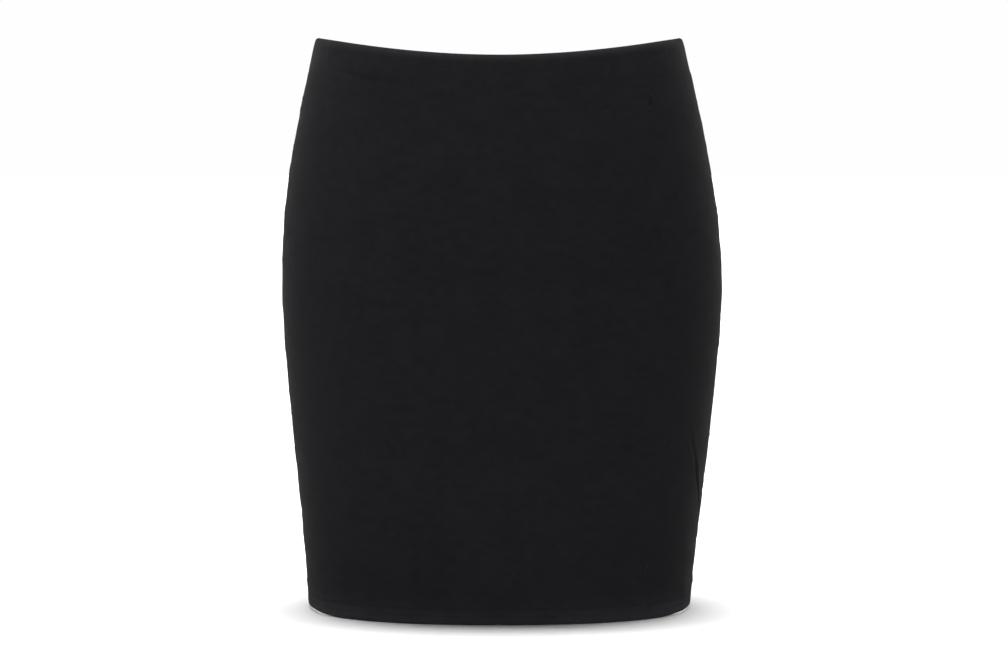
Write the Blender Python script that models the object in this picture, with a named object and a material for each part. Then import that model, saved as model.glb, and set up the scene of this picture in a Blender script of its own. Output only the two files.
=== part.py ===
"""A stretch pencil skirt, filled out and hollow, with its waist and hem open.

Four sewn pieces: a front and a back panel, and a front and a back half of a waistband.
Both pairs meet at the side seams. The front faces -Y. The origin is the middle of the
waist, level with the top of the side seams, and the hem lies on one level plane below.
"""

import math

import bmesh
import bpy
from mathutils import Vector

# Lengths, in metres.
SIDE_LENGTH = 0.439          # top edge to hem, down the side seam
WAIST_DIP = 0.0163           # how far the top edge drops from a side seam to the middle
BAND_DEPTH = 0.025           # the waistband, top to bottom
HEM_DEPTH = 0.018            # the cloth that is turned up inside at the hem

# Thicknesses.
CLOTH = 0.0013               # one layer of the knitted cloth
HEM_WALL = 2 * CLOTH         # the cloth and its turn-up
BAND_WALL = 0.0034           # two layers of cloth round an elastic
SEAM_GAP = 0.0003            # between pieces that are sewn together

# The level sections are rounder than a box and squarer than an ellipse, whose power is 2.
SECTION_POWER = 2.3
EDGE_POWER = 2.15            # the dip of the top edge across the skirt, 2 being a parabola

# Each row is one level section: its depth below the top of the side seams, its half width,
# how far its front and its back lie from its middle, and how far the middle sits to the side.
SECTIONS = (
    dict(depth=0.000, half_width=0.1408, front=0.0950, back=0.0920, drift=-0.0012),
    dict(depth=0.060, half_width=0.1543, front=0.1030, back=0.1050, drift=-0.0005),
    dict(depth=0.110, half_width=0.1635, front=0.1083, back=0.1160, drift=-0.0001),
    dict(depth=0.150, half_width=0.1681, front=0.1108, back=0.1230, drift=0.0007),
    dict(depth=0.190, half_width=0.1698, front=0.1115, back=0.1258, drift=0.0012),
    dict(depth=0.230, half_width=0.1680, front=0.1104, back=0.1234, drift=0.0011),
    dict(depth=0.290, half_width=0.1627, front=0.1070, back=0.1140, drift=0.0008),
    dict(depth=0.350, half_width=0.1563, front=0.1026, back=0.1045, drift=0.0003),
    dict(depth=0.400, half_width=0.1512, front=0.0988, back=0.0985, drift=-0.0004),
    dict(depth=0.440, half_width=0.1478, front=0.0960, back=0.0950, drift=-0.0009),
)

# Each row is one soft trough that the cloth has pulled into. It runs from its first end to
# its last, each given by an angle round from the middle of its half of the skirt, positive
# towards +X and 90 at a side seam, and a depth below the top of the side seams.
FOLDS = (
    dict(half="front", angle_1=62.0, depth_1=0.292, angle_2=86.0, depth_2=0.358,
         width=0.0065, sink=0.0016),
    dict(half="front", angle_1=-44.0, depth_1=0.034, angle_2=-64.0, depth_2=0.031,
         width=0.0080, sink=0.0009),
    dict(half="front", angle_1=46.0, depth_1=0.036, angle_2=62.0, depth_2=0.032,
         width=0.0080, sink=0.0008),
    dict(half="back", angle_1=-58.0, depth_1=0.262, angle_2=-84.0, depth_2=0.322,
         width=0.0080, sink=0.0014),
    dict(half="back", angle_1=55.0, depth_1=0.282, angle_2=84.0, depth_2=0.346,
         width=0.0075, sink=0.0015),
    dict(half="back", angle_1=-24.0, depth_1=0.042, angle_2=26.0, depth_2=0.044,
         width=0.0100, sink=0.0012),
)

# How finely a piece is faceted.
COLUMNS = 40                 # across a half, from side seam to side seam
PANEL_ROWS = 24              # from the waistband to the top of the hem
STEP = 0.0005                # the small step that slopes are measured over

SIDES = {"front": -1.0, "back": 1.0}
PANEL_LENGTH = SIDE_LENGTH - BAND_DEPTH - SEAM_GAP


def clear_scene():
    """Remove what the scene starts with."""
    for thing in list(bpy.data.objects):
        bpy.data.objects.remove(thing, do_unlink=True)


def knot_slope(column, index):
    """The slope of a column of SECTIONS at one of its rows."""
    before = SECTIONS[max(index - 1, 0)]
    after = SECTIONS[min(index + 1, len(SECTIONS) - 1)]
    return (after[column] - before[column]) / (after["depth"] - before["depth"])


def section_value(column, depth):
    """A column of SECTIONS at any depth, on a smooth curve through its rows."""
    last = len(SECTIONS) - 2
    index = next((i for i in range(last) if depth < SECTIONS[i + 1]["depth"]), last)
    upper, lower = SECTIONS[index], SECTIONS[index + 1]
    span = lower["depth"] - upper["depth"]
    t = min(max((depth - upper["depth"]) / span, 0.0), 1.0)
    return ((2 * t**3 - 3 * t**2 + 1) * upper[column]
            + (t**3 - 2 * t**2 + t) * span * knot_slope(column, index)
            + (3 * t**2 - 2 * t**3) * lower[column]
            + (t**3 - t**2) * span * knot_slope(column, index + 1))


def squared(value):
    """A sine or cosine, reshaped to the power of the sections."""
    return math.copysign(abs(value) ** (2 / SECTION_POWER), value)


def form_point(half, angle, z):
    """A point on the outer face of the skirt, before any fold."""
    x = section_value("drift", -z) + section_value("half_width", -z) * squared(math.sin(angle))
    y = SEAM_GAP / 2 + section_value(half, -z) * squared(math.cos(angle))
    return Vector((x, SIDES[half] * y, z))


def form_normal(half, angle, z):
    """The outward direction of the outer face."""
    round_it = form_point(half, angle + STEP, z) - form_point(half, angle - STEP, z)
    down_it = form_point(half, angle, z - STEP) - form_point(half, angle, z + STEP)
    normal = round_it.cross(down_it).normalized()
    return normal * SIDES[half]


def fold_sink(half, angle, z):
    """How far the folds of this half draw the cloth in at a point."""
    total = 0.0
    for fold in FOLDS:
        if fold["half"] != half:
            continue
        first, last = math.radians(fold["angle_1"]), math.radians(fold["angle_2"])
        middle = (first + last) / 2
        depth = (fold["depth_1"] + fold["depth_2"]) / 2
        reach = math.hypot(section_value("half_width", depth) * math.cos(middle),
                           section_value(half, depth) * math.sin(middle))
        run = Vector(((last - first) * reach, fold["depth_2"] - fold["depth_1"]))
        here = Vector(((angle - first) * reach, -z - fold["depth_1"]))
        along = min(max(here.dot(run) / run.length_squared, 0.0), 1.0)
        away = (here - run * along).length
        fade = math.sin(math.pi * (0.12 + 0.76 * along))
        total += fold["sink"] * fade * math.exp(-(away / fold["width"]) ** 2)
    return total


def edge_dip(angle):
    """How far the top edge lies below the tops of the side seams."""
    return WAIST_DIP * (1 - abs(squared(math.sin(angle))) ** EDGE_POWER)


def band_height(angle, below_edge):
    """The height of a level of the waistband, given by its distance below the top edge."""
    return -edge_dip(angle) - below_edge


def panel_height(angle, above_hem):
    """The height of a level of a panel: level at the hem, dipped under the waistband."""
    return above_hem - SIDE_LENGTH - edge_dip(angle) * (above_hem / PANEL_LENGTH) ** 2


def panel_levels():
    """The panel's levels, top to bottom: distance above the hem, outer and inner depth."""
    levels = []
    for row in range(PANEL_ROWS + 1):
        share = row / PANEL_ROWS
        above = PANEL_LENGTH * (1 - share) + (HEM_DEPTH + CLOTH) * share
        levels.append((above, 0.0, CLOTH))
    levels.append((HEM_DEPTH, 0.0, HEM_WALL))
    levels.append((HEM_DEPTH / 2, 0.0, HEM_WALL))
    levels.append((0.45 * HEM_WALL, 0.0, HEM_WALL))
    levels.append((0.12 * HEM_WALL, 0.12 * HEM_WALL, 0.88 * HEM_WALL))
    levels.append((0.0, 0.32 * HEM_WALL, 0.68 * HEM_WALL))
    return levels


def band_levels():
    """The waistband's levels, top to bottom: distance below the edge, outer and inner depth."""
    return [
        (0.0, 0.32 * BAND_WALL, 0.68 * BAND_WALL),
        (0.12 * BAND_WALL, 0.12 * BAND_WALL, 0.88 * BAND_WALL),
        (0.45 * BAND_WALL, 0.0, BAND_WALL),
        (BAND_DEPTH / 3, 0.0, BAND_WALL),
        (2 * BAND_DEPTH / 3, 0.0, BAND_WALL),
        (BAND_DEPTH, 0.0, BAND_WALL),
    ]


def build_piece(name, half, levels, height_of, material):
    """One curved wall of cloth: an outer and an inner grid, closed round all four edges."""
    mesh = bpy.data.meshes.new(name)
    shape = bmesh.new()
    outer, inner = [], []
    for level, outer_inset, inner_inset in levels:
        outer_row, inner_row = [], []
        for column in range(COLUMNS + 1):
            angle = math.pi * (column / COLUMNS - 0.5)
            z = height_of(angle, level)
            point = form_point(half, angle, z)
            inward = -form_normal(half, angle, z)
            sink = fold_sink(half, angle, z)
            outer_row.append(shape.verts.new(point + inward * (sink + outer_inset)))
            inner_row.append(shape.verts.new(point + inward * (sink + inner_inset)))
        outer.append(outer_row)
        inner.append(inner_row)
    for grid in (outer, inner):
        for upper, lower in zip(grid, grid[1:]):
            for i in range(COLUMNS):
                shape.faces.new((upper[i], upper[i + 1], lower[i + 1], lower[i]))
    for row in (0, len(levels) - 1):
        for i in range(COLUMNS):
            shape.faces.new((outer[row][i], outer[row][i + 1], inner[row][i + 1], inner[row][i]))
    for i in (0, COLUMNS):
        for row in range(len(levels) - 1):
            shape.faces.new((outer[row][i], outer[row + 1][i], inner[row + 1][i], inner[row][i]))
    bmesh.ops.recalc_face_normals(shape, faces=shape.faces)
    shape.to_mesh(mesh)
    shape.free()
    mesh.shade_smooth()
    mesh.set_sharp_from_angle(angle=math.radians(40))
    mesh.materials.append(material)
    piece = bpy.data.objects.new(name, mesh)
    bpy.context.collection.objects.link(piece)
    return piece


def make_cloth(name, colour, roughness):
    """A matt knitted cloth."""
    material = bpy.data.materials.new(name)
    material.use_nodes = True
    shader = material.node_tree.nodes["Principled BSDF"]
    shader.inputs["Base Color"].default_value = (*colour, 1.0)
    shader.inputs["Roughness"].default_value = roughness
    shader.inputs["Metallic"].default_value = 0.0
    material.diffuse_color = (*colour, 1.0)
    return material


def main():
    clear_scene()
    cloth = make_cloth("black_knit", (0.0116, 0.0116, 0.0130), 0.85)
    band_cloth = make_cloth("black_knit_band", (0.0125, 0.0125, 0.0140), 0.85)
    for half in SIDES:
        build_piece(half + "_panel", half, panel_levels(), panel_height, cloth)
        build_piece("waistband_" + half, half, band_levels(), band_height, band_cloth)


main()
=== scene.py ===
"""Looks of a black stretch pencil skirt: its cloth, waistband, seams, stitches and creases.

The skirt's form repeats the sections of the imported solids. The front faces -Y, +X is the viewer's
right, the origin is the middle of the waist, and the hem is drawn up a little at the sides.
"""

import math

import bpy
import numpy as np
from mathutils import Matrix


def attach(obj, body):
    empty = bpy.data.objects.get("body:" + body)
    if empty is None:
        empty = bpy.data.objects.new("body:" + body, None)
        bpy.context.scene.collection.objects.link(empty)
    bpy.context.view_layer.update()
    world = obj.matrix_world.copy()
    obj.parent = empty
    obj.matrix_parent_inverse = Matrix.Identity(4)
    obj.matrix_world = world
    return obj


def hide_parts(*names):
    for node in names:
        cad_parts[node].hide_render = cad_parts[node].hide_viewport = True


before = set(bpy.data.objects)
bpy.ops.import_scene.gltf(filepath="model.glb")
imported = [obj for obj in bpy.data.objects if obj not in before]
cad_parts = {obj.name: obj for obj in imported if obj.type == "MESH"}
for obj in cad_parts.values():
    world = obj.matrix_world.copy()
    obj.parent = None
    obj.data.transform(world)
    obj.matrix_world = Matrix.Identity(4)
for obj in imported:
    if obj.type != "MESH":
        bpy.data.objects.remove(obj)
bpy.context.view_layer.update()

# ---------------------------------------------------------------- sizes of the solids

SIDE_LENGTH = 0.4389         # top edge to hem
WAIST_DIP = 0.0151           # drop of the top edge from a side seam to the middle
BAND_DEPTH = 0.025           # the waistband, top to bottom
HEM_DEPTH = 0.018            # the cloth turned up inside at the hem
CLOTH = 0.0013               # one layer of cloth
HEM_WALL = 2 * CLOTH
BAND_WALL = 0.0034           # two layers of cloth round an elastic
HEM_RISE = 0.0032            # how much higher the hem is drawn at a side seam
HEM_RISE_FROM = 52           # the angle round a half where it starts to rise
SECTION_POWER = 2.3
EDGE_POWER = 1.9

# Each level's depth, half its width, its reach to the front and to the back, and how far its
# middle drifts towards +X.
SECTIONS = dict(zip(("depth", "half_width", "front", "back", "drift"), np.array((
    (0.000, 0.1405, 0.0950, 0.0920, -0.0012),
    (0.060, 0.1540, 0.1030, 0.1050, -0.0005),
    (0.110, 0.1632, 0.1083, 0.1160, -0.0001),
    (0.150, 0.1678, 0.1108, 0.1230, 0.0007),
    (0.190, 0.1695, 0.1115, 0.1258, 0.0012),
    (0.230, 0.1677, 0.1104, 0.1234, 0.0011),
    (0.290, 0.1624, 0.1070, 0.1140, 0.0008),
    (0.350, 0.1560, 0.1026, 0.1045, 0.0003),
    (0.400, 0.1509, 0.0988, 0.0985, -0.0004),
    (0.440, 0.1475, 0.0960, 0.0950, -0.0009),
)).T))
PANEL_LENGTH = SIDE_LENGTH - BAND_DEPTH
HIP_DEPTH = 0.190
SIDES = {"front": -1.0, "back": 1.0}

# ---------------------------------------------------------------- creases

# Each crease runs through three points, each an angle round from the middle of its half,
# positive towards +X and 90 at a side seam, and a depth below the top of the side seams.
# Then come the width and sink of its trough, and the height and width of a raised bank
# beside it. A negative sink is a raised fold. A negative bank lies on the trough's other side.
CREASES = {
    "front": (
        # the long pull beside the right side seam, its deep end, and a small neighbour
        (((59.8, 0.2975), (65.4, 0.3192), (71.6, 0.344)), 0.0011, 0.00055, 0.0003, 0.0028),
        (((66.2, 0.321), (71.4, 0.3405), (80, 0.367)), 0.0013, 0.001, 0.0002, 0.0026),
        (((58, 0.307), (59.5, 0.313), (61.5, 0.321)), 0.0013, 0.0003, 0.00008, 0.0025),
        # a small raised tuck over the hem, with two legs, and a dent in the hem below it
        (((43.5, 0.3968), (43.2, 0.4), (42.4, 0.4042)), 0.0011, -0.00145, 0, 0.001),
        (((41.7, 0.3972), (41.3, 0.401), (40.7, 0.405)), 0.001, -0.0015, 0, 0.001),
        (((40.4, 0.396), (42, 0.3952), (43.7, 0.3962)), 0.0011, -0.00085, 0, 0.001),
        (((44.3, 0.4248), (45.8, 0.4282), (48, 0.43)), 0.0022, 0.0012, 0.0002, 0.0028),
        # a nick below the waistband, and the pinch of cloth above it
        (((45.1, 0.0496), (44.5, 0.0518), (44, 0.0541)), 0.0012, 0.0013, 0, 0.001),
        (((44.6, 0.0462), (45.8, 0.0468), (46.4, 0.0488)), 0.0013, -0.0008, 0, 0.001),
        # where the waistband pulls the cloth, left and right
        (((-50, 0.0283), (-40.5, 0.0318), (-31, 0.0346)), 0.001, 0.0006, 0.00042, 0.005),
        (((27, 0.0405), (34, 0.0395), (42, 0.037)), 0.0035, 0.00035, 0.0001, 0.004),
        (((49, 0.0345), (54, 0.033), (60, 0.03)), 0.003, 0.00025, 0.00008, 0.003),
        # soft hollows along the left side, and one low on the right
        (((-69, 0.148), (-74, 0.154), (-82, 0.158)), 0.0024, 0.00045, -0.00028, 0.005),
        (((-74, 0.088), (-79, 0.094), (-86, 0.097)), 0.0055, 0.0005, -0.00015, 0.006),
        (((-60, 0.084), (-55, 0.09), (-48, 0.094)), 0.008, 0.0003, 0.0001, 0.009),
        (((-49, 0.332), (-49.5, 0.35), (-48, 0.368)), 0.0085, 0.00038, 0.00012, 0.009),
        (((-46, 0.392), (-45, 0.408), (-45.5, 0.424)), 0.007, 0.00034, 0.00012, 0.008),
        (((70, 0.378), (75, 0.386), (83, 0.391)), 0.005, 0.00038, -0.00015, 0.006),
    ),
    "back": (
        # pulls under the seat at each side
        (((-56, 0.258), (-68, 0.284), (-83, 0.326)), 0.0022, 0.0009, -0.0004, 0.0055),
        (((-62, 0.247), (-70, 0.262), (-79, 0.281)), 0.0026, 0.00045, -0.00015, 0.005),
        (((54, 0.279), (66, 0.304), (82, 0.349)), 0.0024, 0.001, 0.00045, 0.006),
        (((64, 0.3), (70, 0.325), (76, 0.338)), 0.0018, 0.00035, 0.00012, 0.0035),
        (((-30, 0.296), (-16, 0.302), (-2, 0.298)), 0.009, 0.0005, 0.00015, 0.009),
        (((9, 0.312), (22, 0.317), (37, 0.309)), 0.008, 0.00045, 0.00015, 0.008),
        # the small of the back, and soft gathers below the waistband
        (((-26, 0.049), (0, 0.053), (27, 0.05)), 0.01, 0.0012, 0, 0.01),
        (((-49, 0.04), (-50.5, 0.056), (-54, 0.074)), 0.0045, 0.0004, 0.00015, 0.005),
        (((-33, 0.044), (-35, 0.055), (-35.5, 0.066)), 0.0038, 0.00032, 0.00012, 0.004),
        (((17, 0.044), (18, 0.06), (21.5, 0.071)), 0.004, 0.00034, 0.0001, 0.0045),
        (((46, 0.04), (48.5, 0.059), (52, 0.083)), 0.005, 0.00044, 0.00016, 0.0055),
    ),
}

CREASE_REACH = 3.2           # how many of its widths a crease is worked out to
BANK_AWAY = 1.5              # how many of its widths a bank lies from the trough

# Broad, shallow swells: the angle and depth of the middle, the reach across and down, and the rise.
SWELLS = {
    "front": (
        (-8, 0.12, 0.07, 0.05, 0.0005),
        (31, 0.21, 0.045, 0.075, -0.0004),
        (-36, 0.245, 0.05, 0.06, 0.00045),
        (12, 0.33, 0.06, 0.045, -0.00045),
        (-63, 0.205, 0.02, 0.04, 0.00035),
        (58, 0.125, 0.022, 0.045, 0.0003),
        (-20, 0.395, 0.035, 0.02, 0.00035),
        (67.5, 0.334, 0.012, 0.02, 0.0003),
        (69.5, 0.424, 0.006, 0.014, 0.0005),
    ),
    "back": (
        (-31, 0.185, 0.045, 0.05, 0.0009),
        (29, 0.192, 0.045, 0.052, 0.00085),
        (2, 0.345, 0.06, 0.04, -0.0005),
        (-48, 0.375, 0.03, 0.03, 0.00045),
        (51, 0.405, 0.03, 0.022, -0.00035),
        (60, 0.12, 0.025, 0.04, 0.00035),
    ),
}

# Where the waist seam pulls in further: the angle of the middle, the reach, the sink and the roll.
VALLEY_PULLS = {
    "front": (
        (-40, 0.011, 0.00022, 0.0002),
        (-12, 0.012, 0.00006, 0),
        (4, 0.01, 0.00007, 0),
        (36, 0.01, 0.00018, 0.00003),
        (56, 0.008, 0.00016, 0.00002),
    ),
    "back": (
        (-47, 0.015, 0.00028, 0.00024),
        (-6, 0.022, 0.0002, 0.00006),
        (39, 0.013, 0.00026, 0.0002),
    ),
}

# ---------------------------------------------------------------- sewing

WAIST_VALLEY = 0.00011       # the valley that the waist seam lies in
WAIST_VALLEY_REACH = 0.0032
PULL_DEPTH = 0.035           # the depth that the pulls of the waist seam are placed at
# Puckers beside the side seams: height, spacing, how far in they fade, and an offset that
# keeps the two seams apart.
PUCKERS = ((0.00022, 0.009, 0.0045, 0.05), (0.00027, 0.017, 0.0070, 0.11),
           (0.00028, 0.043, 0.0150, 0.17))
BAND_CURL = 0.0038           # how far the waistband's top edge curls in
BAND_CURL_DEPTH = 0.0080
BAND_CURL_FADE = (70, 17)    # the angle where it starts to fade, and over how many degrees
BAND_CURL_LOSS = 0.8         # how much of it has faded at a side seam
# Slight waves in the relief: their height, and the spacing they keep near.
GATHERS = (0.00013, 0.015)   # of the cloth under the waistband
GATHER_REACH = 0.0060
HEM_WAVE = (0.00012, 0.019)
BAND_WAVE = (0.00009, 0.012)

RIPPLE_HEIGHT = 0.00009      # how high the faint ripples of the cloth are, on average
RIPPLE_LENGTHS = (0.011, 0.042)
RIPPLE_USUAL = 0.027         # the length of a ripple of that height
RIPPLE_POWER = 1.2           # longer ripples are higher, to this power
SEAM_RIDGE = 0.00035         # how far the allowance inside lifts the cloth at a side seam
SEAM_RIDGE_REACH = 0.0030
SEAM_ROLL = 0.00060          # how far the edges at a side seam roll in
BAND_ROLL = 0.00004          # the same at the waist seam, between its pulls
HEM_LINES = (0.0064, 0.0119)  # the twin needle's two rows, above the hem
HEM_LINE_SINK = 0.00012
HEM_LINE_REACH = 0.00085
HEM_STAND = 0.00030          # how much the doubled hem stands proud
HEM_EASE_ABOVE = 0.0015      # how far above the turned edge it starts, and its ease in
HEM_EASE = 0.0035
THREAD = 0.00017             # the thread's radius
INNER_THREAD = 0.9 * THREAD
HEM_STITCH = 0.0028          # from one stitch to the next
NEEDLE_CLEAR = 0.0015        # from a side seam to the first stitch of a hem row
LOOPER_CLEAR = 0.002
LOOPER_LIFT = 0.00022        # of the looper thread off the cloth, and how much more midway
LOOPER_BOW = 0.00010
OVERLOCK_STITCH = 0.0024
OVERLOCK_START = 0.0012      # from the hem's turned edge to the first overlock stitch
OVERLOCK_SPARE = 0.003       # how much of a side seam has no overlock
SIDE_ALLOWANCE = 0.0075      # the width of the overlocked seam allowance inside
WAIST_ALLOWANCE = 0.0080
ALLOWANCE_WALL = 0.0019      # two layers of cloth, pressed
ALLOWANCE_LIFT = 0.00005     # between the allowance and the cloth it lies on
SIDE_NEEDLE = 0.0034         # from a seam to the needle thread of its overlock
WAIST_NEEDLE = 0.0036
OVERLOCK_EDGE = 0.0002       # how far the overlock thread passes the raw edge
SIDE_OVERLOCK_LIFT = 0.00018  # of the overlock threads off the pressed layers
WAIST_OVERLOCK_LIFT = 0.0007
WAIST_EXTRA = 0.0005         # how much thicker the waist allowance is
SIDE_EDGE = (0.00025, 0.031)  # the waves of the raw edges, and how far they stand off
WAIST_EDGE = (0.00030, 0.027)
SIDE_LIP = (0.00018, 0.022)
WAIST_LIP = (0.00022, 0.019)
EDGE_FROM = 0.003            # how far from a seam those waves start
SIDE_BULK = 0.0016           # how far the waist allowance stands off a side allowance
SIDE_BULK_REACH = 0.0105
WAIST_HALF = 0.4             # a half's width at the waist, near enough for waves

# ---------------------------------------------------------------- fineness

COARSE = 0.0036              # between columns and rows of a panel, where nothing is small
# Where they stand closer: columns between two angles, and rows between two heights above
# the hem, each with its spacing.
FINE = {
    "front": dict(columns=((39.5, 47.5, 0.0008), (58.0, 81.0, 0.0010)),
                  rows=((0.081, 0.141, 0.0010), (0.032, 0.045, 0.0008), (0.384, 0.396, 0.0008))),
    "back": dict(columns=((-84.0, -55.0, 0.0016), (53.0, 83.0, 0.0016)),
                 rows=((0.088, 0.186, 0.0016),)),
}
GRADE_FADE = 0.004           # how far outside a close spot its spacing eases out
EVEN_GAP = 0.0018            # from the close columns at a side seam to the next ones
FLANGE_ROWS = 180
RIPPLES = 22
STEP = 0.0004                # the step that slopes are measured over
TWO_PI = 2 * math.pi


# ================================================================ the form

KNOTS = SECTIONS["depth"]


def section_value(column, depth):
    """A column of SECTIONS at any depth, on a smooth curve through its values."""
    values = SECTIONS[column]
    slopes = np.empty(len(KNOTS))
    slopes[1:-1] = (values[2:] - values[:-2]) / (KNOTS[2:] - KNOTS[:-2])
    slopes[0] = (values[1] - values[0]) / (KNOTS[1] - KNOTS[0])
    slopes[-1] = (values[-1] - values[-2]) / (KNOTS[-1] - KNOTS[-2])
    index = np.clip(np.searchsorted(KNOTS, depth, side="right") - 1, 0, len(KNOTS) - 2)
    span = KNOTS[index + 1] - KNOTS[index]
    t = np.clip((depth - KNOTS[index]) / span, 0.0, 1.0)
    return ((2 * t**3 - 3 * t**2 + 1) * values[index]
            + (t**3 - 2 * t**2 + t) * span * slopes[index]
            + (3 * t**2 - 2 * t**3) * values[index + 1]
            + (t**3 - t**2) * span * slopes[index + 1])


def squared(value):
    """A sine or cosine, reshaped to the power of the sections."""
    return np.sign(value) * np.abs(value) ** (2 / SECTION_POWER)


def form_points(half, angle, z):
    """Points on the outer face of the skirt, before any crease."""
    x = section_value("drift", -z) + section_value("half_width", -z) * squared(np.sin(angle))
    y = section_value(half, -z) * squared(np.cos(angle))
    return np.stack(np.broadcast_arrays(x, SIDES[half] * y, z), axis=-1)


def unit(vectors):
    """Vectors at length 1."""
    return vectors / np.maximum(np.linalg.norm(vectors, axis=-1, keepdims=True), 1e-12)


def form_normals(half, angle, z):
    """The outward directions of the outer face."""
    round_it = form_points(half, angle + STEP, z) - form_points(half, angle - STEP, z)
    down_it = form_points(half, angle, z - STEP) - form_points(half, angle, z + STEP)
    return unit(np.cross(round_it, down_it)) * SIDES[half]


def edge_dip(angle):
    """How far the top edge lies below the tops of the side seams."""
    return WAIST_DIP * (1 - np.abs(squared(np.sin(angle))) ** EDGE_POWER)


def band_height(angle, below_edge):
    """The height of a level of the waistband, by its distance below the top edge."""
    return -edge_dip(angle) - below_edge


def panel_height(angle, above_hem):
    """The height of a level of a panel: drawn up at the hem's ends, dipped at the waistband."""
    low = above_hem - SIDE_LENGTH - edge_dip(angle) * (above_hem / PANEL_LENGTH) ** 2
    turned = np.abs(np.degrees(angle))
    rise = HEM_RISE * smooth_step((turned - HEM_RISE_FROM) / (90 - HEM_RISE_FROM))
    return low + rise * (1 - above_hem / PANEL_LENGTH) ** 4


# ---------------------------------------------------------------- a flat chart of each half

FINE_ANGLES = np.radians(np.linspace(-90, 90, 1441))


def arc_lengths(half, depth):
    """Distances round a half at one depth, from its left seam to each of FINE_ANGLES."""
    points = form_points(half, FINE_ANGLES, np.full(FINE_ANGLES.shape, -depth))
    steps = np.linalg.norm(np.diff(points, axis=0), axis=1)
    return np.concatenate([[0.0], np.cumsum(steps)])


SHARES = {half: arc_lengths(half, HIP_DEPTH) / arc_lengths(half, HIP_DEPTH)[-1] for half in SIDES}
WIDTH_DEPTHS = np.linspace(0.0, SIDE_LENGTH, 23)
WIDTHS = {half: np.array([arc_lengths(half, d)[-1] for d in WIDTH_DEPTHS]) for half in SIDES}


def width_at(half, depth):
    """The width of a half at a depth, round the cloth."""
    return np.interp(depth, WIDTH_DEPTHS, WIDTHS[half])


def angle_of(half, share):
    """The angle at a share of the way round a half, 0 at the left seam and 1 at the right."""
    return np.interp(share, SHARES[half], FINE_ANGLES)


def chart(half, angle, depth):
    """Flat coordinates on the cloth: distance from the middle line, and depth."""
    share = np.interp(angle, FINE_ANGLES, SHARES[half])
    return (share - 0.5) * width_at(half, depth), depth


# ================================================================ relief of the cloth

def curve_through(first, middle, last, count=26):
    """Points along a smooth curve through three."""
    t = np.linspace(0, 1, count)[:, None]
    handle = 2 * np.array(middle) - (np.array(first) + np.array(last)) / 2
    return (1 - t) ** 2 * np.array(first) + 2 * t * (1 - t) * handle + t**2 * np.array(last)


def crease_relief(half, across, depth):
    """How far the creases of a half lift the cloth, which is mostly down."""
    lift = np.zeros(across.shape)
    for spots, width, sink, bank, bank_width in CREASES[half]:
        path = curve_through(*[chart(half, math.radians(angle), d) for angle, d in spots])
        reach = CREASE_REACH * max(width, bank_width)
        low, high = path.min(axis=0) - reach, path.max(axis=0) + reach
        near = ((across > low[0]) & (across < high[0]) & (depth > low[1]) & (depth < high[1]))
        if not near.any():
            continue
        here = np.stack([across[near], depth[near]], axis=1)[:, None, :]
        start, run = path[:-1][None], np.diff(path, axis=0)[None]
        t = np.clip(((here - start) * run).sum(-1) / (run**2).sum(-1), 0, 1)
        offset = here - start - t[..., None] * run
        gap = np.linalg.norm(offset, axis=-1)
        pick = gap.argmin(axis=1)
        rows = np.arange(len(pick))
        along = (pick + t[rows, pick]) / (len(path) - 1)
        turn = run[0, pick, 0] * offset[rows, pick, 1] - run[0, pick, 1] * offset[rows, pick, 0]
        away = gap[rows, pick] * np.sign(turn)
        fade = np.sin(math.pi * (0.06 + 0.88 * along)) ** 0.8     # out at both ends
        trough = -sink * np.exp(-(away / width) ** 2)
        bank_at = -np.sign(bank) * BANK_AWAY * bank_width
        ridge = abs(bank) * np.exp(-((away - bank_at) / bank_width) ** 2)
        lift[near] += fade * (trough + ridge)
    return lift


def swell_relief(half, across, depth):
    """Broad, shallow swells and hollows."""
    lift = np.zeros(across.shape)
    for angle, middle_depth, reach_across, reach_down, rise in SWELLS[half]:
        middle, _ = chart(half, math.radians(angle), middle_depth)
        u = (across - middle) / reach_across
        v = (depth - middle_depth) / reach_down
        lift += rise * np.exp(-(u**2 + v**2))
    return lift


def ripple_relief(half, across, depth):
    """Faint ripples all over, mostly across the skirt, that never repeat."""
    generator = np.random.default_rng(5 if half == "front" else 6)
    lift = np.zeros(np.shape(across))
    for _ in range(RIPPLES):
        length = generator.uniform(*RIPPLE_LENGTHS)
        heading = generator.normal(0.0, 0.55)
        run = (depth * math.cos(heading) + across * math.sin(heading)) / length
        bend = generator.uniform(0.5, 1.1) * np.sin(across / generator.uniform(0.03, 0.08)
                                                    + generator.uniform(0, TWO_PI))
        lift += length**RIPPLE_POWER * np.sin(TWO_PI * (run + generator.uniform(0, 1)) + bend)
    return RIPPLE_HEIGHT * lift / (RIPPLE_USUAL**RIPPLE_POWER * math.sqrt(RIPPLES / 2))


def uneven(distance, spacing, seed):
    """A wave along a seam whose spacing and height keep changing, from -1 to 1."""
    generator = np.random.default_rng(seed)
    total = np.zeros(np.shape(distance))
    for share in (1.0, 0.72, 1.38, 0.47, 2.1):
        phase, weight = generator.uniform(0, TWO_PI), generator.uniform(0.5, 1.0)
        total = total + weight * np.sin(TWO_PI * distance / (spacing * share) + phase)
    return total / 2.6


def wave_along(distance, wave, seed):
    """An uneven wave of a height and a spacing."""
    height, spacing = wave
    return height * uneven(distance, spacing, seed)


def lip_along(distance, wave, seed):
    """How far the raw edge of an allowance stands off the cloth under it."""
    height, spacing = wave
    return height * (1 + uneven(distance, spacing, seed))


def rolled(distance, radius):
    """How far a rounded edge has dropped, at a distance from the edge."""
    inside = np.clip(radius - distance, 0.0, radius)
    return radius - np.sqrt(np.maximum(radius**2 - inside**2, 0.0))


def smooth_step(value):
    """0 below 0, 1 above 1, and smooth between."""
    t = np.clip(value, 0.0, 1.0)
    return t * t * (3 - 2 * t)


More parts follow.
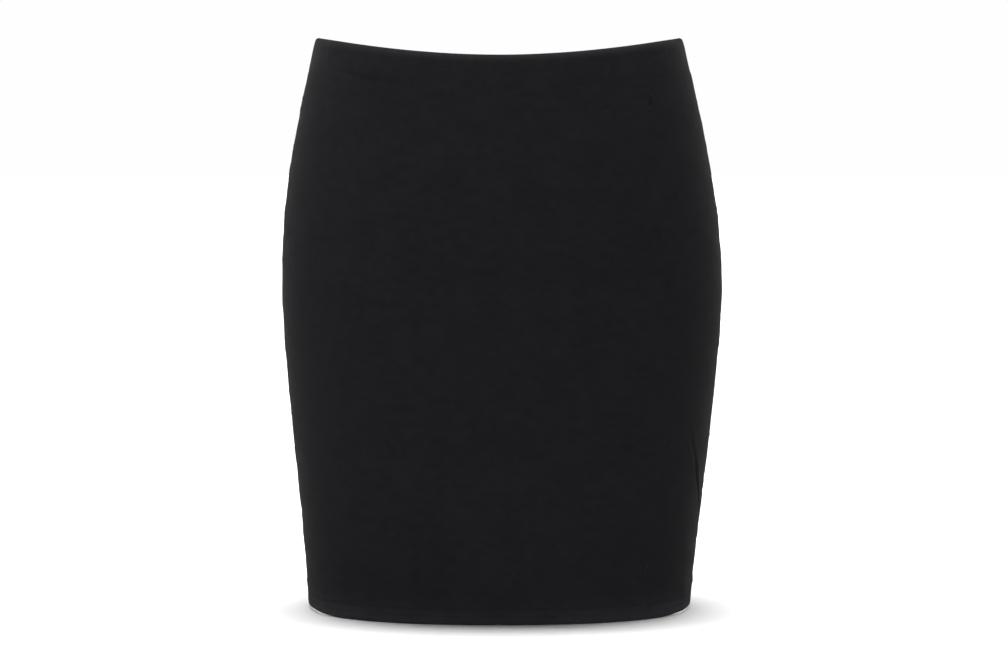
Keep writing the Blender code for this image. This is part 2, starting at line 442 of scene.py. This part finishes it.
def pulls_along(half, across):
    """What the pulls of the waist seam add to its sink and its roll, at each place along it."""
    sinks, rolls = np.zeros(np.shape(across)), np.zeros(np.shape(across))
    for angle, reach, sink, roll in VALLEY_PULLS[half]:
        middle, _ = chart(half, math.radians(angle), PULL_DEPTH)
        near = np.exp(-((across - middle) / reach) ** 2)
        sinks, rolls = sinks + sink * near, rolls + roll * near
    return sinks, rolls


def seam_valley(half, across, distance):
    """The soft valley along the waist seam, deeper in some places than others."""
    sink = WAIST_VALLEY * (1 + 0.30 * uneven(across, 0.060, 77))
    sink = sink + pulls_along(half, across)[0]
    return sink * np.exp(-(distance / WAIST_VALLEY_REACH) ** 2)


def band_roll(half, across):
    """The radius that the two edges at the waist seam roll in by."""
    return BAND_ROLL + pulls_along(half, across)[1]


def panel_lift(half, angle, above_hem):
    """The full relief of a panel's outer face."""
    z = panel_height(angle, above_hem)
    across, depth = chart(half, angle, -z)
    to_seam = width_at(half, depth) / 2 - np.abs(across)
    below_band = PANEL_LENGTH - above_hem
    seed = 11 if half == "front" else 23
    lift = crease_relief(half, across, depth) + swell_relief(half, across, depth)
    lift += ripple_relief(half, across, depth)
    # puckers beside the seams, which fade within a finger's width
    side = np.sign(across)
    for height, spacing, reach, skip in PUCKERS:
        wave = uneven(above_hem + skip * side, spacing, seed + round(1000 * spacing))
        lift += height * wave * np.exp(-to_seam / reach)
    lift += SEAM_RIDGE * np.exp(-(to_seam / SEAM_RIDGE_REACH) ** 2)
    lift += wave_along(across, GATHERS, seed + 1) * np.exp(-below_band / GATHER_REACH)
    # the doubled hem, its needle rows, and a slight wave along it
    hem = smooth_step((HEM_DEPTH + HEM_EASE_ABOVE - above_hem) / HEM_EASE)
    lift += hem * (HEM_STAND + wave_along(across, HEM_WAVE, seed + 2))
    lift -= seam_valley(half, across, below_band)
    sink = HEM_LINE_SINK * (1 + 0.25 * uneven(across, 0.006, seed + 3))
    for line in HEM_LINES:
        lift -= sink * np.exp(-((above_hem - line) / HEM_LINE_REACH) ** 2)
    # edges that roll in where they are sewn
    lift -= rolled(to_seam, SEAM_ROLL)
    lift -= rolled(below_band, band_roll(half, across))
    return lift


def band_lift(half, angle, below_edge):
    """The full relief of the waistband's outer face."""
    z = band_height(angle, below_edge)
    across, depth = chart(half, angle, -z)
    to_seam = width_at(half, depth) / 2 - np.abs(across)
    above_seam = BAND_DEPTH - below_edge
    seed = 31 if half == "front" else 43
    middle = np.sin(math.pi * np.clip(below_edge / BAND_DEPTH, 0, 1))
    lift = middle * wave_along(across, BAND_WAVE, seed)
    fade_from, fade_over = BAND_CURL_FADE
    fade = smooth_step((np.abs(np.degrees(angle)) - fade_from) / fade_over)
    curl = BAND_CURL * (1 - BAND_CURL_LOSS * fade)
    lift -= curl * np.clip(1 - below_edge / BAND_CURL_DEPTH, 0, 1) ** 3
    lift -= seam_valley(half, across, above_seam)
    lift += crease_relief(half, across, depth)
    lift += ripple_relief(half, across, depth)
    lift += SEAM_RIDGE * np.exp(-(to_seam / SEAM_RIDGE_REACH) ** 2)
    lift -= rolled(to_seam, SEAM_ROLL)
    lift -= rolled(above_seam, band_roll(half, across))
    return lift


# ================================================================ meshes

def add_object(name, data):
    """A new object in the scene."""
    thing = bpy.data.objects.new(name, data)
    bpy.context.collection.objects.link(thing)
    return thing


def link_mesh(name, points, faces, chart_uv, material, sharp=40):
    """A mesh object from arrays. chart_uv gives each point's place on the flat cloth."""
    mesh = bpy.data.meshes.new(name)
    mesh.from_pydata(points.reshape(-1, 3).tolist(), [], faces)
    mesh.validate(clean_customdata=False)
    if chart_uv is not None:
        layer = mesh.uv_layers.new(name="cloth")
        loops = np.empty(len(mesh.loops), dtype=np.int64)
        mesh.loops.foreach_get("vertex_index", loops)
        layer.data.foreach_set("uv", chart_uv.reshape(-1, 2)[loops].astype(np.float32).ravel())
    mesh.shade_smooth()
    mesh.set_sharp_from_angle(angle=math.radians(sharp))
    mesh.materials.append(material)
    return add_object(name, mesh)


def wall_faces(rows, columns, flip):
    """Faces of a closed wall: an outer grid of points, then an inner grid of as many."""
    def strip(a, b, c, d):
        quads = np.stack([a, b, c, d], axis=-1).reshape(-1, 4)
        return quads[:, ::-1] if flip else quads

    outer = np.arange(rows * columns).reshape(rows, columns)
    inner = outer + rows * columns
    parts = [
        strip(outer[:-1, :-1], outer[1:, :-1], outer[1:, 1:], outer[:-1, 1:]),
        strip(inner[:-1, :-1], inner[:-1, 1:], inner[1:, 1:], inner[1:, :-1]),
        strip(outer[0, :-1], outer[0, 1:], inner[0, 1:], inner[0, :-1]),
        strip(outer[-1, :-1], inner[-1, :-1], inner[-1, 1:], outer[-1, 1:]),
        strip(outer[:-1, 0], inner[:-1, 0], inner[1:, 0], outer[1:, 0]),
        strip(outer[:-1, -1], outer[1:, -1], inner[1:, -1], inner[:-1, -1]),
    ]
    return np.concatenate(parts).tolist()


def column_shares(half):
    """Where the columns stand across a half: even, with close ones at the seams."""
    width = float(width_at(half, HIP_DEPTH))
    close = np.array([0.0, 0.12, 0.3, 0.6, 1.1, 1.8, 2.6, 3.5, 4.5, 5.7, 7.1, 8.8]) * 0.001
    spots = [tuple(width * np.interp(np.radians(spot[:2]), FINE_ANGLES, SHARES[half])) + spot[2:]
             for spot in FINE[half]["columns"]]
    even = graded(close[-1] + EVEN_GAP, width - close[-1] - EVEN_GAP, spots)
    return np.concatenate([close, even, width - close[::-1]]) / width


def graded(first, last, spots):
    """Places from first to last, coarse apart, and closer within the spots."""
    place = np.linspace(first, last, 4001)
    density = np.full(place.shape, 1 / COARSE)
    for low, high, spacing in spots:
        inside = (smooth_step((place - low) / GRADE_FADE + 1)
                  * smooth_step((high - place) / GRADE_FADE + 1))
        density = np.maximum(density, inside / spacing)
    total = np.concatenate([[0.0], np.cumsum((density[1:] + density[:-1]) / 2 * np.diff(place))])
    return np.interp(np.linspace(0, total[-1], int(total[-1]) + 1), total, place)


def fold_rows(radius, height):
    """The rounded end of a wall folded on itself: distance from the end, and inset."""
    turns = np.radians(np.array([78.0, 58.0, 38.0, 18.0]))
    return [(height * (1 - math.sin(t)), radius * (1 - math.cos(t))) for t in turns]


def panel_rows(half):
    """A panel's levels from the waistband down: above the hem, outer and inner inset."""
    close = np.array([0.0, 0.00010, 0.00025, 0.00045, 0.0010, 0.0020])
    levels = [(PANEL_LENGTH - gap, 0.0, CLOTH) for gap in close]
    top, low = PANEL_LENGTH - 0.0035, HEM_DEPTH + 0.0030
    levels += [(h, 0.0, CLOTH) for h in graded(low, top, FINE[half]["rows"])[::-1]]
    levels += [(HEM_DEPTH + step, 0.0, CLOTH) for step in (0.0016, 0.0009, 0.0003)]
    levels.append((HEM_DEPTH + 0.0001, 0.0, CLOTH))
    levels += [(HEM_DEPTH - step, 0.0, HEM_WALL) for step in (0.0001, 0.0006, 0.0012, 0.0022)]
    for line in reversed(HEM_LINES):
        levels += [(line + step, 0.0, HEM_WALL)
                   for step in (0.0022, 0.0013, 0.0008, 0.0004, 0.0, -0.0004, -0.0008, -0.0013)]
    levels += [(h, 0.0, HEM_WALL) for h in (0.0040, 0.0028, 0.0019)]
    for gap, inset in reversed(fold_rows(HEM_WALL / 2, 0.0009)):
        levels.append((gap, inset, HEM_WALL - inset))
    return np.array(levels)


def band_rows():
    """The waistband's levels from its top edge down: below it, outer and inner inset."""
    fold = fold_rows(BAND_WALL / 2, BAND_WALL / 2)
    levels = [(gap, inset, BAND_WALL - inset) for gap, inset in fold]
    levels += [(d, 0.0, BAND_WALL) for d in np.linspace(0.0019, BAND_DEPTH - 0.0022, 20)]
    levels += [(BAND_DEPTH - gap, 0.0, BAND_WALL)
               for gap in (0.0012, 0.00045, 0.00025, 0.0001, 0.0)]
    return np.array(levels)


def cloth_wall(name, half, levels, height_of, lift_of, material):
    """One sewn piece of cloth, as a closed wall with all its relief."""
    share = column_shares(half)
    angle, level = np.meshgrid(angle_of(half, share), levels[:, 0])
    z = height_of(angle, level)
    normals = form_normals(half, angle, z)
    lift = lift_of(half, angle, level)
    form = form_points(half, angle, z)
    outer = form + normals * (lift - levels[:, 1:2])[..., None]
    inner = form + normals * (lift - levels[:, 2:3])[..., None]
    across, depth = chart(half, angle, -z)
    uv = np.stack([across, -depth], axis=-1)
    faces = wall_faces(*angle.shape, flip=half == "back")
    both = np.concatenate([outer.reshape(-1, 3), inner.reshape(-1, 3)])
    uvs = np.concatenate([uv.reshape(-1, 2), uv.reshape(-1, 2) + 0.5])
    return link_mesh(name, both, faces, uvs, material)


def threads(name, paths, normals, radius, material, sides=6):
    """Short lengths of thread. paths and normals have a row for each thread."""
    count, length, _ = paths.shape
    along = unit(np.gradient(paths, axis=1))
    side = unit(np.cross(along, normals))
    up = np.cross(side, along)
    turns = np.linspace(0, TWO_PI, sides, endpoint=False)
    rings = (paths[:, :, None, :]
             + radius * (np.cos(turns)[:, None] * up[:, :, None, :]
                         + np.sin(turns)[:, None] * side[:, :, None, :]))
    index = np.arange(count * length * sides).reshape(count, length, sides)
    after = np.roll(index, -1, axis=2)
    tube = np.stack([index[:, :-1], index[:, 1:], after[:, 1:], after[:, :-1]], axis=-1)
    faces = tube.reshape(-1, 4).tolist()
    faces += index[:, 0, :].tolist()
    faces += index[:, -1, ::-1].tolist()
    return link_mesh(name, rings, faces, None, material, sharp=60)


# ================================================================ materials

WALE = 0.00070               # the width of one column of the knit
COURSE = 0.00055             # the height of one of its rows
# how fine the noise of each is
CLOUDS, MOTTLES, LINT, GRAIN, FIBRES = 38.0, 120.0, 410.0, 700.0, 2600.0
# the dark and the light colour, and the sheen; the waistband is the same knit with its colours
# painted about 3% lighter, which is painted light on the band
KNITS = {"knit_cloth": ((0.0042, 0.0042, 0.0050), (0.0063, 0.0063, 0.0074), 0.014),
         "waistband_cloth": ((0.0044, 0.0044, 0.0052), (0.0066, 0.0066, 0.0077), 0.020)}
THREAD_COLOUR = (0.0034, 0.0034, 0.0040)


def set_inputs(node, values):
    """Gives a node's inputs their values, by name."""
    for name, value in values.items():
        node.inputs[name].default_value = value


def new_material(name):
    """A material, its node tree and its Principled shader."""
    material = bpy.data.materials.new(name)
    material.use_nodes = True
    tree = material.node_tree
    return material, tree, tree.nodes["Principled BSDF"]


def math_node(tree, operation, first, second=None):
    """A Math node fed by sockets or plain numbers."""
    node = tree.nodes.new("ShaderNodeMath")
    node.operation = operation
    for socket, value in zip(node.inputs, (first, second)):
        if value is None:
            continue
        if isinstance(value, (int, float)):
            socket.default_value = value
        else:
            tree.links.new(value, socket)
    return node.outputs[0]


def noise_node(tree, vector, scale, detail=3.0):
    """A noise texture's value."""
    node = tree.nodes.new("ShaderNodeTexNoise")
    set_inputs(node, {"Scale": scale, "Detail": detail, "Roughness": 0.55})
    tree.links.new(vector, node.inputs["Vector"])
    return node.outputs["Fac"]


def ramp_node(tree, value, stops):
    """A colour ramp. stops are (position, grey or colour)."""
    node = tree.nodes.new("ShaderNodeValToRGB")
    elements = node.color_ramp.elements
    while len(elements) < len(stops):
        elements.new(0.5)
    for element, (position, colour) in zip(elements, stops):
        element.position = position
        element.color = (*colour, 1.0) if hasattr(colour, "__len__") else (colour,) * 3 + (1.0,)
    tree.links.new(value, node.inputs["Fac"])
    return node.outputs["Color"]


def add_bump(tree, shader, height, strength, distance):
    """Fine relief on a shader, from a height."""
    bump = tree.nodes.new("ShaderNodeBump")
    set_inputs(bump, {"Strength": strength, "Distance": distance})
    tree.links.new(height, bump.inputs["Height"])
    tree.links.new(bump.outputs["Normal"], shader.inputs["Normal"])


def knit_material(name, dark, light, sheen):
    """A black double knit: fine wales and courses, soft mottling, a faint fuzz and lint."""
    material, tree, shader = new_material(name)
    lint_colour = tuple(2.2 * part for part in light)
    uv = tree.nodes.new("ShaderNodeUVMap")
    uv.uv_map = "cloth"
    place = tree.nodes.new("ShaderNodeTexCoord").outputs["Object"]
    split = tree.nodes.new("ShaderNodeSeparateXYZ")
    tree.links.new(uv.outputs["UV"], split.inputs["Vector"])
    across, along = split.outputs["X"], split.outputs["Y"]
    # a wale is a column of V stitches: its legs lean towards the middle of the column
    in_wale = math_node(tree, "PINGPONG", math_node(tree, "DIVIDE", across, WALE), 0.5)
    lean = math_node(tree, "MULTIPLY", in_wale, 1.6)
    in_course = math_node(tree, "ADD", math_node(tree, "DIVIDE", along, COURSE), lean)
    stitch = math_node(tree, "SINE", math_node(tree, "MULTIPLY", in_course, TWO_PI))
    column = math_node(tree, "MULTIPLY", in_wale, 3.0)
    fibre = noise_node(tree, place, FIBRES, 2.0)
    knit = math_node(tree, "ADD", math_node(tree, "MULTIPLY", stitch, 0.35), column)
    height = math_node(tree, "ADD", knit, math_node(tree, "MULTIPLY", fibre, 0.9))
    add_bump(tree, shader, height, 0.35, 0.00012)
    # colour: clouds, mottles drawn out along the courses, grain, and a little pale lint
    stretch = tree.nodes.new("ShaderNodeMapping")
    stretch.inputs["Scale"].default_value = (1.0, 1.4, 1.0)
    tree.links.new(uv.outputs["UV"], stretch.inputs["Vector"])
    cloudy = noise_node(tree, place, CLOUDS, 4.0)
    mottled = noise_node(tree, stretch.outputs["Vector"], MOTTLES)
    grainy = noise_node(tree, place, GRAIN, 2.0)
    parts = [math_node(tree, "MULTIPLY", value, share)
             for value, share in ((cloudy, 0.62), (mottled, 0.56), (grainy, 0.26))]
    blend = math_node(tree, "ADD", math_node(tree, "ADD", parts[0], parts[1]), parts[2])
    lint = ramp_node(tree, noise_node(tree, place, LINT, 1.0), ((0.73, 0.0), (0.82, 0.8)))
    colour = tree.nodes.new("ShaderNodeMix")
    colour.data_type = "RGBA"
    tree.links.new(lint, colour.inputs["Factor"])
    tree.links.new(ramp_node(tree, blend, ((0.57, dark), (0.88, light))), colour.inputs[6])
    colour.inputs[7].default_value = (*lint_colour, 1.0)
    tree.links.new(colour.outputs[2], shader.inputs["Base Color"])
    rough = ramp_node(tree, cloudy, ((0.3, 0.80), (0.7, 0.92)))
    tree.links.new(rough, shader.inputs["Roughness"])
    set_inputs(shader, {"Specular IOR Level": 0.05, "Sheen Weight": sheen,
                        "Sheen Roughness": 0.42, "Sheen Tint": (1.0, 1.0, 0.97, 1.0)})
    return material


def thread_material(name, colour):
    """Twisted polyester sewing thread, slightly shinier than the cloth."""
    material, tree, shader = new_material(name)
    place = tree.nodes.new("ShaderNodeTexCoord").outputs["Object"]
    wave = tree.nodes.new("ShaderNodeTexWave")
    wave.bands_direction = "DIAGONAL"
    set_inputs(wave, {"Scale": 900.0, "Distortion": 1.5})
    tree.links.new(place, wave.inputs["Vector"])
    add_bump(tree, shader, wave.outputs["Fac"], 0.4, 0.00005)
    shade = noise_node(tree, place, 400.0)
    low = tuple(0.8 * part for part in colour)
    tree.links.new(ramp_node(tree, shade, ((0.3, low), (0.7, colour))), shader.inputs["Base Color"])
    set_inputs(shader, {"Roughness": 0.75, "Specular IOR Level": 0.05})
    return material


# ================================================================ the pieces

def panel_surface(half, share, level, inset=0.0):
    """Points on a dressed panel, at an inset from its outer face, and outward directions."""
    share, level = np.broadcast_arrays(share, level)
    angle = angle_of(half, share)
    z = panel_height(angle, level)
    normals = form_normals(half, angle, z)
    points = form_points(half, angle, z)
    return points + normals * (panel_lift(half, angle, level) - inset)[..., None], normals


def inside_surface(half, share, level, inset):
    """Points at an inset from a panel's outer face, and inward directions."""
    points, normals = panel_surface(half, share, level, inset)
    return points, -normals


def joined(rows):
    """Several groups of threads as one."""
    return [np.concatenate(pair) for pair in zip(*rows)]


def stitch_row(half, line):
    """One needle row round a half: a thread for each stitch, bowed out of the cloth."""
    width = float(width_at(half, SIDE_LENGTH))
    count = int((width - 2 * NEEDLE_CLEAR) / HEM_STITCH)
    start = (NEEDLE_CLEAR + HEM_STITCH * np.arange(count)) / width
    steps = np.array([0.0, 0.12, 0.32, 0.56, 0.76, 0.88]) * HEM_STITCH / width
    bow = np.array([-1.0, 0.25, 0.9, 0.9, 0.25, -1.0]) * (0.25 * THREAD)
    share = start[:, None] + steps[None]
    points, normals = panel_surface(half, share, line)
    return points + normals * bow[None, :, None], normals


def looper_zigzag(half):
    """The looper thread that crosses between the two needle rows on the inside."""
    low, high = HEM_LINES
    width = float(width_at(half, SIDE_LENGTH))
    count = int((width - 2 * LOOPER_CLEAR) / HEM_STITCH)
    begin = LOOPER_CLEAR + HEM_STITCH * np.arange(count)
    t = np.linspace(0, 1, 5)
    lean = HEM_STITCH * 0.5
    rising = (begin[:, None] + lean * t) / width, low + (high - low) * t
    falling = (begin[:, None] + lean + lean * t) / width, high + (low - high) * t
    bow = LOOPER_LIFT + LOOPER_BOW * np.sin(math.pi * t)
    found = []
    for share, level in (rising, falling):
        points, normals = panel_surface(half, share, level, HEM_WALL)
        found.append((points - normals * bow[None, :, None], -normals))
    return joined(found)


def hem_sewing(half, material):
    """The twin needle's two rows outside, and the looper thread between them inside."""
    outside = joined([stitch_row(half, line) for line in HEM_LINES])
    inside = looper_zigzag(half)
    return [threads("hem_twin_stitch_" + half, *outside, THREAD, material),
            threads("hem_looper_" + half, *inside, INNER_THREAD, material, sides=5)]


# How far each column of an allowance is rounded off, and the rise of an overlock thread
# from the needle to the raw edge.
ALLOWANCE_ROUNDING = 0.0004 * np.array([1, 0.3, 0, 0, 0, 0.2, 0.8])
OVERLOCK_RISE = np.array([0.0, -0.00006, -0.00012, -0.00006, 0.0005])


def allowance(name, half, share, level, lower, upper, flat, flip, cloth):
    """A seam allowance inside: a closed wall between two insets from a panel's outer face."""
    under, _ = panel_surface(half, share, level, lower)
    over, _ = panel_surface(half, share, level, upper)
    points = np.concatenate([under.reshape(-1, 3), over.reshape(-1, 3)])
    flat = np.stack(flat, axis=-1).reshape(-1, 2)
    faces = wall_faces(*share.shape, flip=flip)
    return link_mesh(name, points, faces, np.concatenate([flat, flat + 0.5]), cloth)


def overlock_legs(begin, needle, edge):
    """The two legs of every overlock stitch: places along, a place across, and the rise."""
    t = np.linspace(0, 1, 5)
    for first, last, turn in ((needle, edge, 0), (edge, needle, 1)):
        along = begin[:, None] + OVERLOCK_STITCH * (0.5 * turn + 0.5 * t)
        yield along, first + (last - first) * t, OVERLOCK_RISE[::-1] if turn else OVERLOCK_RISE


def side_flange(name, seam_share, cloth):
    """The overlocked side seam allowance inside, laid flat towards the back."""
    width = float(width_at("back", HIP_DEPTH))
    inward = 1.0 if seam_share == 0 else -1.0
    across = np.array([0.0002, 0.0008, 0.0022, 0.0040, 0.0058, 0.0070, SIDE_ALLOWANCE])
    level = np.linspace(PANEL_LENGTH - 0.0006, HEM_DEPTH + 0.0004, FLANGE_ROWS)
    wave = wave_along(level, SIDE_EDGE, 57 + seam_share)[:, None] * (across > EDGE_FROM)
    share = seam_share + inward * (across[None, :] + wave) / width
    grid = np.broadcast_to(level[:, None], share.shape)
    lip = lip_along(level, SIDE_LIP, 61 + seam_share)[:, None] * (across / SIDE_ALLOWANCE)
    over = CLOTH + ALLOWANCE_WALL + lip - ALLOWANCE_ROUNDING
    return allowance(name, "back", share, grid, CLOTH + ALLOWANCE_LIFT + lip, over,
                     (share * width, grid), inward > 0, cloth)


def side_overlock(name, seam_share, material):
    """Overlock thread over the raw edge of a side seam allowance."""
    width = float(width_at("back", HIP_DEPTH))
    inward = 1.0 if seam_share == 0 else -1.0
    count = int((PANEL_LENGTH - HEM_DEPTH - OVERLOCK_SPARE) / OVERLOCK_STITCH)
    begin = HEM_DEPTH + OVERLOCK_START + OVERLOCK_STITCH * np.arange(count)
    top = CLOTH + ALLOWANCE_WALL + SIDE_OVERLOCK_LIFT
    found = []
    for level, across, rise in overlock_legs(begin, SIDE_NEEDLE, SIDE_ALLOWANCE + OVERLOCK_EDGE):
        share = seam_share + inward * across / width
        found.append(inside_surface("back", share, level, top - rise))
    needle = begin[:, None] + OVERLOCK_STITCH * np.array([0.04, 0.2, 0.5, 0.8, 0.96])
    share = seam_share + inward * SIDE_NEEDLE / width
    bow = np.array([-0.0001, 0.00008, 0.00015, 0.00008, -0.0001])
    found.append(inside_surface("back", share, needle, top + bow))
    return threads(name, *joined(found), INNER_THREAD, material, sides=5)


def side_bulk(half, near):
    """How far the waist allowance stands off the cloth, at a distance from a side seam."""
    return SIDE_BULK * smooth_step(1 - near / SIDE_BULK_REACH) * (half == "back")


def waist_flange(name, half, cloth):
    """The overlocked allowance of the waist seam inside, laid down over the panel."""
    down = np.array([0.0002, 0.0009, 0.0024, 0.0045, 0.0064, 0.0075, WAIST_ALLOWANCE])[:, None]
    share = np.linspace(0.0006, 0.9994, 200)
    grid = np.broadcast_to(share[None, :], (len(down), len(share)))
    wave = wave_along(share * WAIST_HALF, WAIST_EDGE, 71) * (down > EDGE_FROM)
    level = PANEL_LENGTH - down - wave
    lip = lip_along(share * WAIST_HALF, WAIST_LIP, 73)[None, :] * (down / WAIST_ALLOWANCE)
    bulk = side_bulk(half, np.minimum(grid, 1 - grid) * WAIST_HALF)
    over = CLOTH + ALLOWANCE_WALL + WAIST_EXTRA + lip + bulk - ALLOWANCE_ROUNDING[:, None]
    return allowance(name, half, grid, level, CLOTH + ALLOWANCE_LIFT + lip + bulk, over,
                     (grid * WAIST_HALF, level), half == "front", cloth)


def waist_overlock(name, half, material):
    """Overlock thread over the raw edge of the waist seam allowance."""
    width = float(width_at(half, BAND_DEPTH))
    count = int((width - 2 * LOOPER_CLEAR) / OVERLOCK_STITCH)
    begin = LOOPER_CLEAR + OVERLOCK_STITCH * np.arange(count)
    found = []
    for along, down, rise in overlock_legs(begin, WAIST_NEEDLE, WAIST_ALLOWANCE + OVERLOCK_EDGE):
        share = along / width
        bulk = side_bulk(half, np.minimum(share, 1 - share) * width)
        inset = CLOTH + ALLOWANCE_WALL + WAIST_OVERLOCK_LIFT + bulk - rise
        found.append(inside_surface(half, share, PANEL_LENGTH - down, inset))
    return threads(name, *joined(found), INNER_THREAD, material, sides=5)


# ================================================================ stage

CAMERA_PLACE = (0.0027, -2.1616, -0.0872)
CAMERA_TILT = 3.765          # degrees below level
CAMERA_LENS = 100.0          # millimetres, on a 36 mm sensor
SURROUND_LIGHT = 0.30
FLOOR_GAP = 0.00015          # between the hem and the floor
FLOOR_REACH = 40.0
# each ceiling light's name, its sway and tilt in degrees, and its strength
CEILING = (("left", -13.0, -7.0, 1.8), ("middle", 0.0, -6.5, 3.0), ("right", 13.0, -7.0, 1.7))
CEILING_SPREAD = 20          # degrees
# each area light's name, place, aim, width and height, and power
LEFT_LIGHT = ("left", (-2.0, 0.3, 0.7), (0.0, 0.0, -0.1), (0.3, 0.6), 4.0)
SOFTBOXES = (("front", (0.0, -2.6, 3.2), (0.0, 0.0, -0.2), (2.6, 1.2), 85.0),
             ("key", (-2.1, -1.5, 1.2), (0.0, 0.0, -0.1), (1.0, 1.0), 40.0),
             ("fill", (1.1, -2.5, 1.0), (0.0, 0.0, -0.2), (1.0, 1.0), 10.0))
# low strips of light round the front of the hem: their gap from it, the first one's angle
# and the last one's, how many degrees apart they stand, their length, and the power of each
LOW_STRIPS = ((0.010, -72, 72, 12, 0.045, 0.0021), (0.090, 0, 44, 22, 0.095, 0.014))
STRIP_HEIGHT = 0.004
STRIP_LEVEL = 0.003          # above the floor


def make_camera():
    """The camera, a little above the hips and tilted down a little."""
    data = bpy.data.cameras.new("camera")
    data.sensor_width = 36.0
    data.lens = CAMERA_LENS
    camera = add_object("camera", data)
    camera.location = CAMERA_PLACE
    camera.rotation_euler = (math.radians(90 - CAMERA_TILT), 0.0, 0.0)
    bpy.context.scene.camera = camera


def make_light(name, place, aim, size, power):
    """A soft rectangular light at a place, facing another."""
    data = bpy.data.lights.new(name, "AREA")
    data.shape = "RECTANGLE"
    data.size, data.size_y = size
    data.energy = power
    lamp = add_object(name, data)
    direction = np.array(aim, float) - np.array(place, float)
    flat = math.hypot(direction[0], direction[1])
    lamp.rotation_euler = (math.atan2(flat, -direction[2]), 0.0,
                           math.atan2(-direction[0], direction[1]))
    lamp.location = place
    lamp.visible_camera = False
    return lamp


def make_floor(low):
    """A wide white floor under the hem."""
    material, tree, shader = new_material("white_floor")
    place = tree.nodes.new("ShaderNodeTexCoord").outputs["Object"]
    tone = noise_node(tree, place, 3.0)
    tree.links.new(ramp_node(tree, tone, ((0.3, 0.74), (0.7, 0.75))), shader.inputs["Base Color"])
    set_inputs(shader, {"Roughness": 1.0, "Specular IOR Level": 0.0})
    corners = np.array([(FLOOR_REACH * x, FLOOR_REACH * y, low)
                        for x, y in ((-1, -1), (1, -1), (1, 1), (-1, 1))])
    link_mesh("floor", corners, [(0, 1, 2, 3)], None, material)


def make_surround():
    """A white surround for the camera, which casts a weaker light."""
    world = bpy.data.worlds.new("studio")
    world.use_nodes = True
    nodes, links = world.node_tree.nodes, world.node_tree.links
    seen = nodes["Background"]
    set_inputs(seen, {"Color": (0.992, 0.992, 0.992, 1.0), "Strength": 1.0})
    cast = nodes.new("ShaderNodeBackground")
    set_inputs(cast, {"Color": (1.0, 1.0, 1.0, 1.0), "Strength": SURROUND_LIGHT})
    mix = nodes.new("ShaderNodeMixShader")
    path = nodes.new("ShaderNodeLightPath")
    links.new(path.outputs["Is Camera Ray"], mix.inputs["Fac"])
    links.new(cast.outputs[0], mix.inputs[1])
    links.new(seen.outputs[0], mix.inputs[2])
    links.new(mix.outputs[0], nodes["World Output"].inputs["Surface"])
    bpy.context.scene.world = world


def make_lights(low, cloth):
    """A soft ceiling for everything, and softboxes and low strips for the cloth alone."""
    for name, sway, tilt, power in CEILING:
        data = bpy.data.lights.new("ceiling_" + name, "SUN")
        data.energy = power
        data.angle = math.radians(CEILING_SPREAD)
        lamp = add_object("ceiling_" + name, data)
        lamp.rotation_euler = (math.radians(tilt), math.radians(sway), 0.0)
    make_light(*LEFT_LIGHT)
    lamps = [make_light(*softbox) for softbox in SOFTBOXES]
    level = low + STRIP_LEVEL
    for gap, first, last, apart, length, power in LOW_STRIPS:
        for angle in range(first, last + 1, apart):
            hem = form_points("front", math.radians(angle), level)
            out = unit(form_normals("front", math.radians(angle), level) * (1, 1, 0))
            name = "strip_%d_%d" % (1000 * gap, angle)
            lamps.append(make_light(name, hem + gap * out, hem, (length, STRIP_HEIGHT), power))
    lit = bpy.data.collections.new("lit_cloth")
    for piece in cloth:
        lit.objects.link(piece)
    for lamp in lamps:
        lamp.light_linking.receiver_collection = lit


def main():
    """Builds the stage and the skirt, hangs each piece on the body, and hides the solids it
    replaces.
    """
    make_camera()
    make_surround()
    view = bpy.context.scene.view_settings
    view.view_transform = "Standard"
    view.look = "None"
    # the waistband's material is the cloth's knit with its colours painted lighter: painted light
    knit, band_knit_painted_lighter = [knit_material(name, *look) for name, look in KNITS.items()]
    thread = thread_material("black_thread", THREAD_COLOUR)
    panels, bands, sewing = {}, {}, {}
    for half in SIDES:
        panels[half] = cloth_wall(half + "_cloth", half, panel_rows(half),
                                  panel_height, panel_lift, knit)
        bands[half] = cloth_wall("waistband_" + half + "_cloth", half, band_rows(),
                                 band_height, band_lift, band_knit_painted_lighter)
        sewing[half] = hem_sewing(half, thread)
        sewing[half] += [waist_flange("waist_allowance_" + half, half, knit),
                         waist_overlock("waist_overlock_" + half, half, thread)]
    for side, share in (("left", 0), ("right", 1)):
        sewing["back"] += [side_flange("side_allowance_" + side, share, knit),
                           side_overlock("side_overlock_" + side, share, thread)]
    cloth = []
    for half in SIDES:
        for piece in [panels[half], bands[half]] + sewing[half]:
            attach(piece, "root")
            cloth.append(piece)
        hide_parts(half + "_panel")
        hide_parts("waistband_" + half)
    floor_level = -SIDE_LENGTH - FLOOR_GAP
    make_floor(floor_level)
    make_lights(floor_level, cloth)


main()
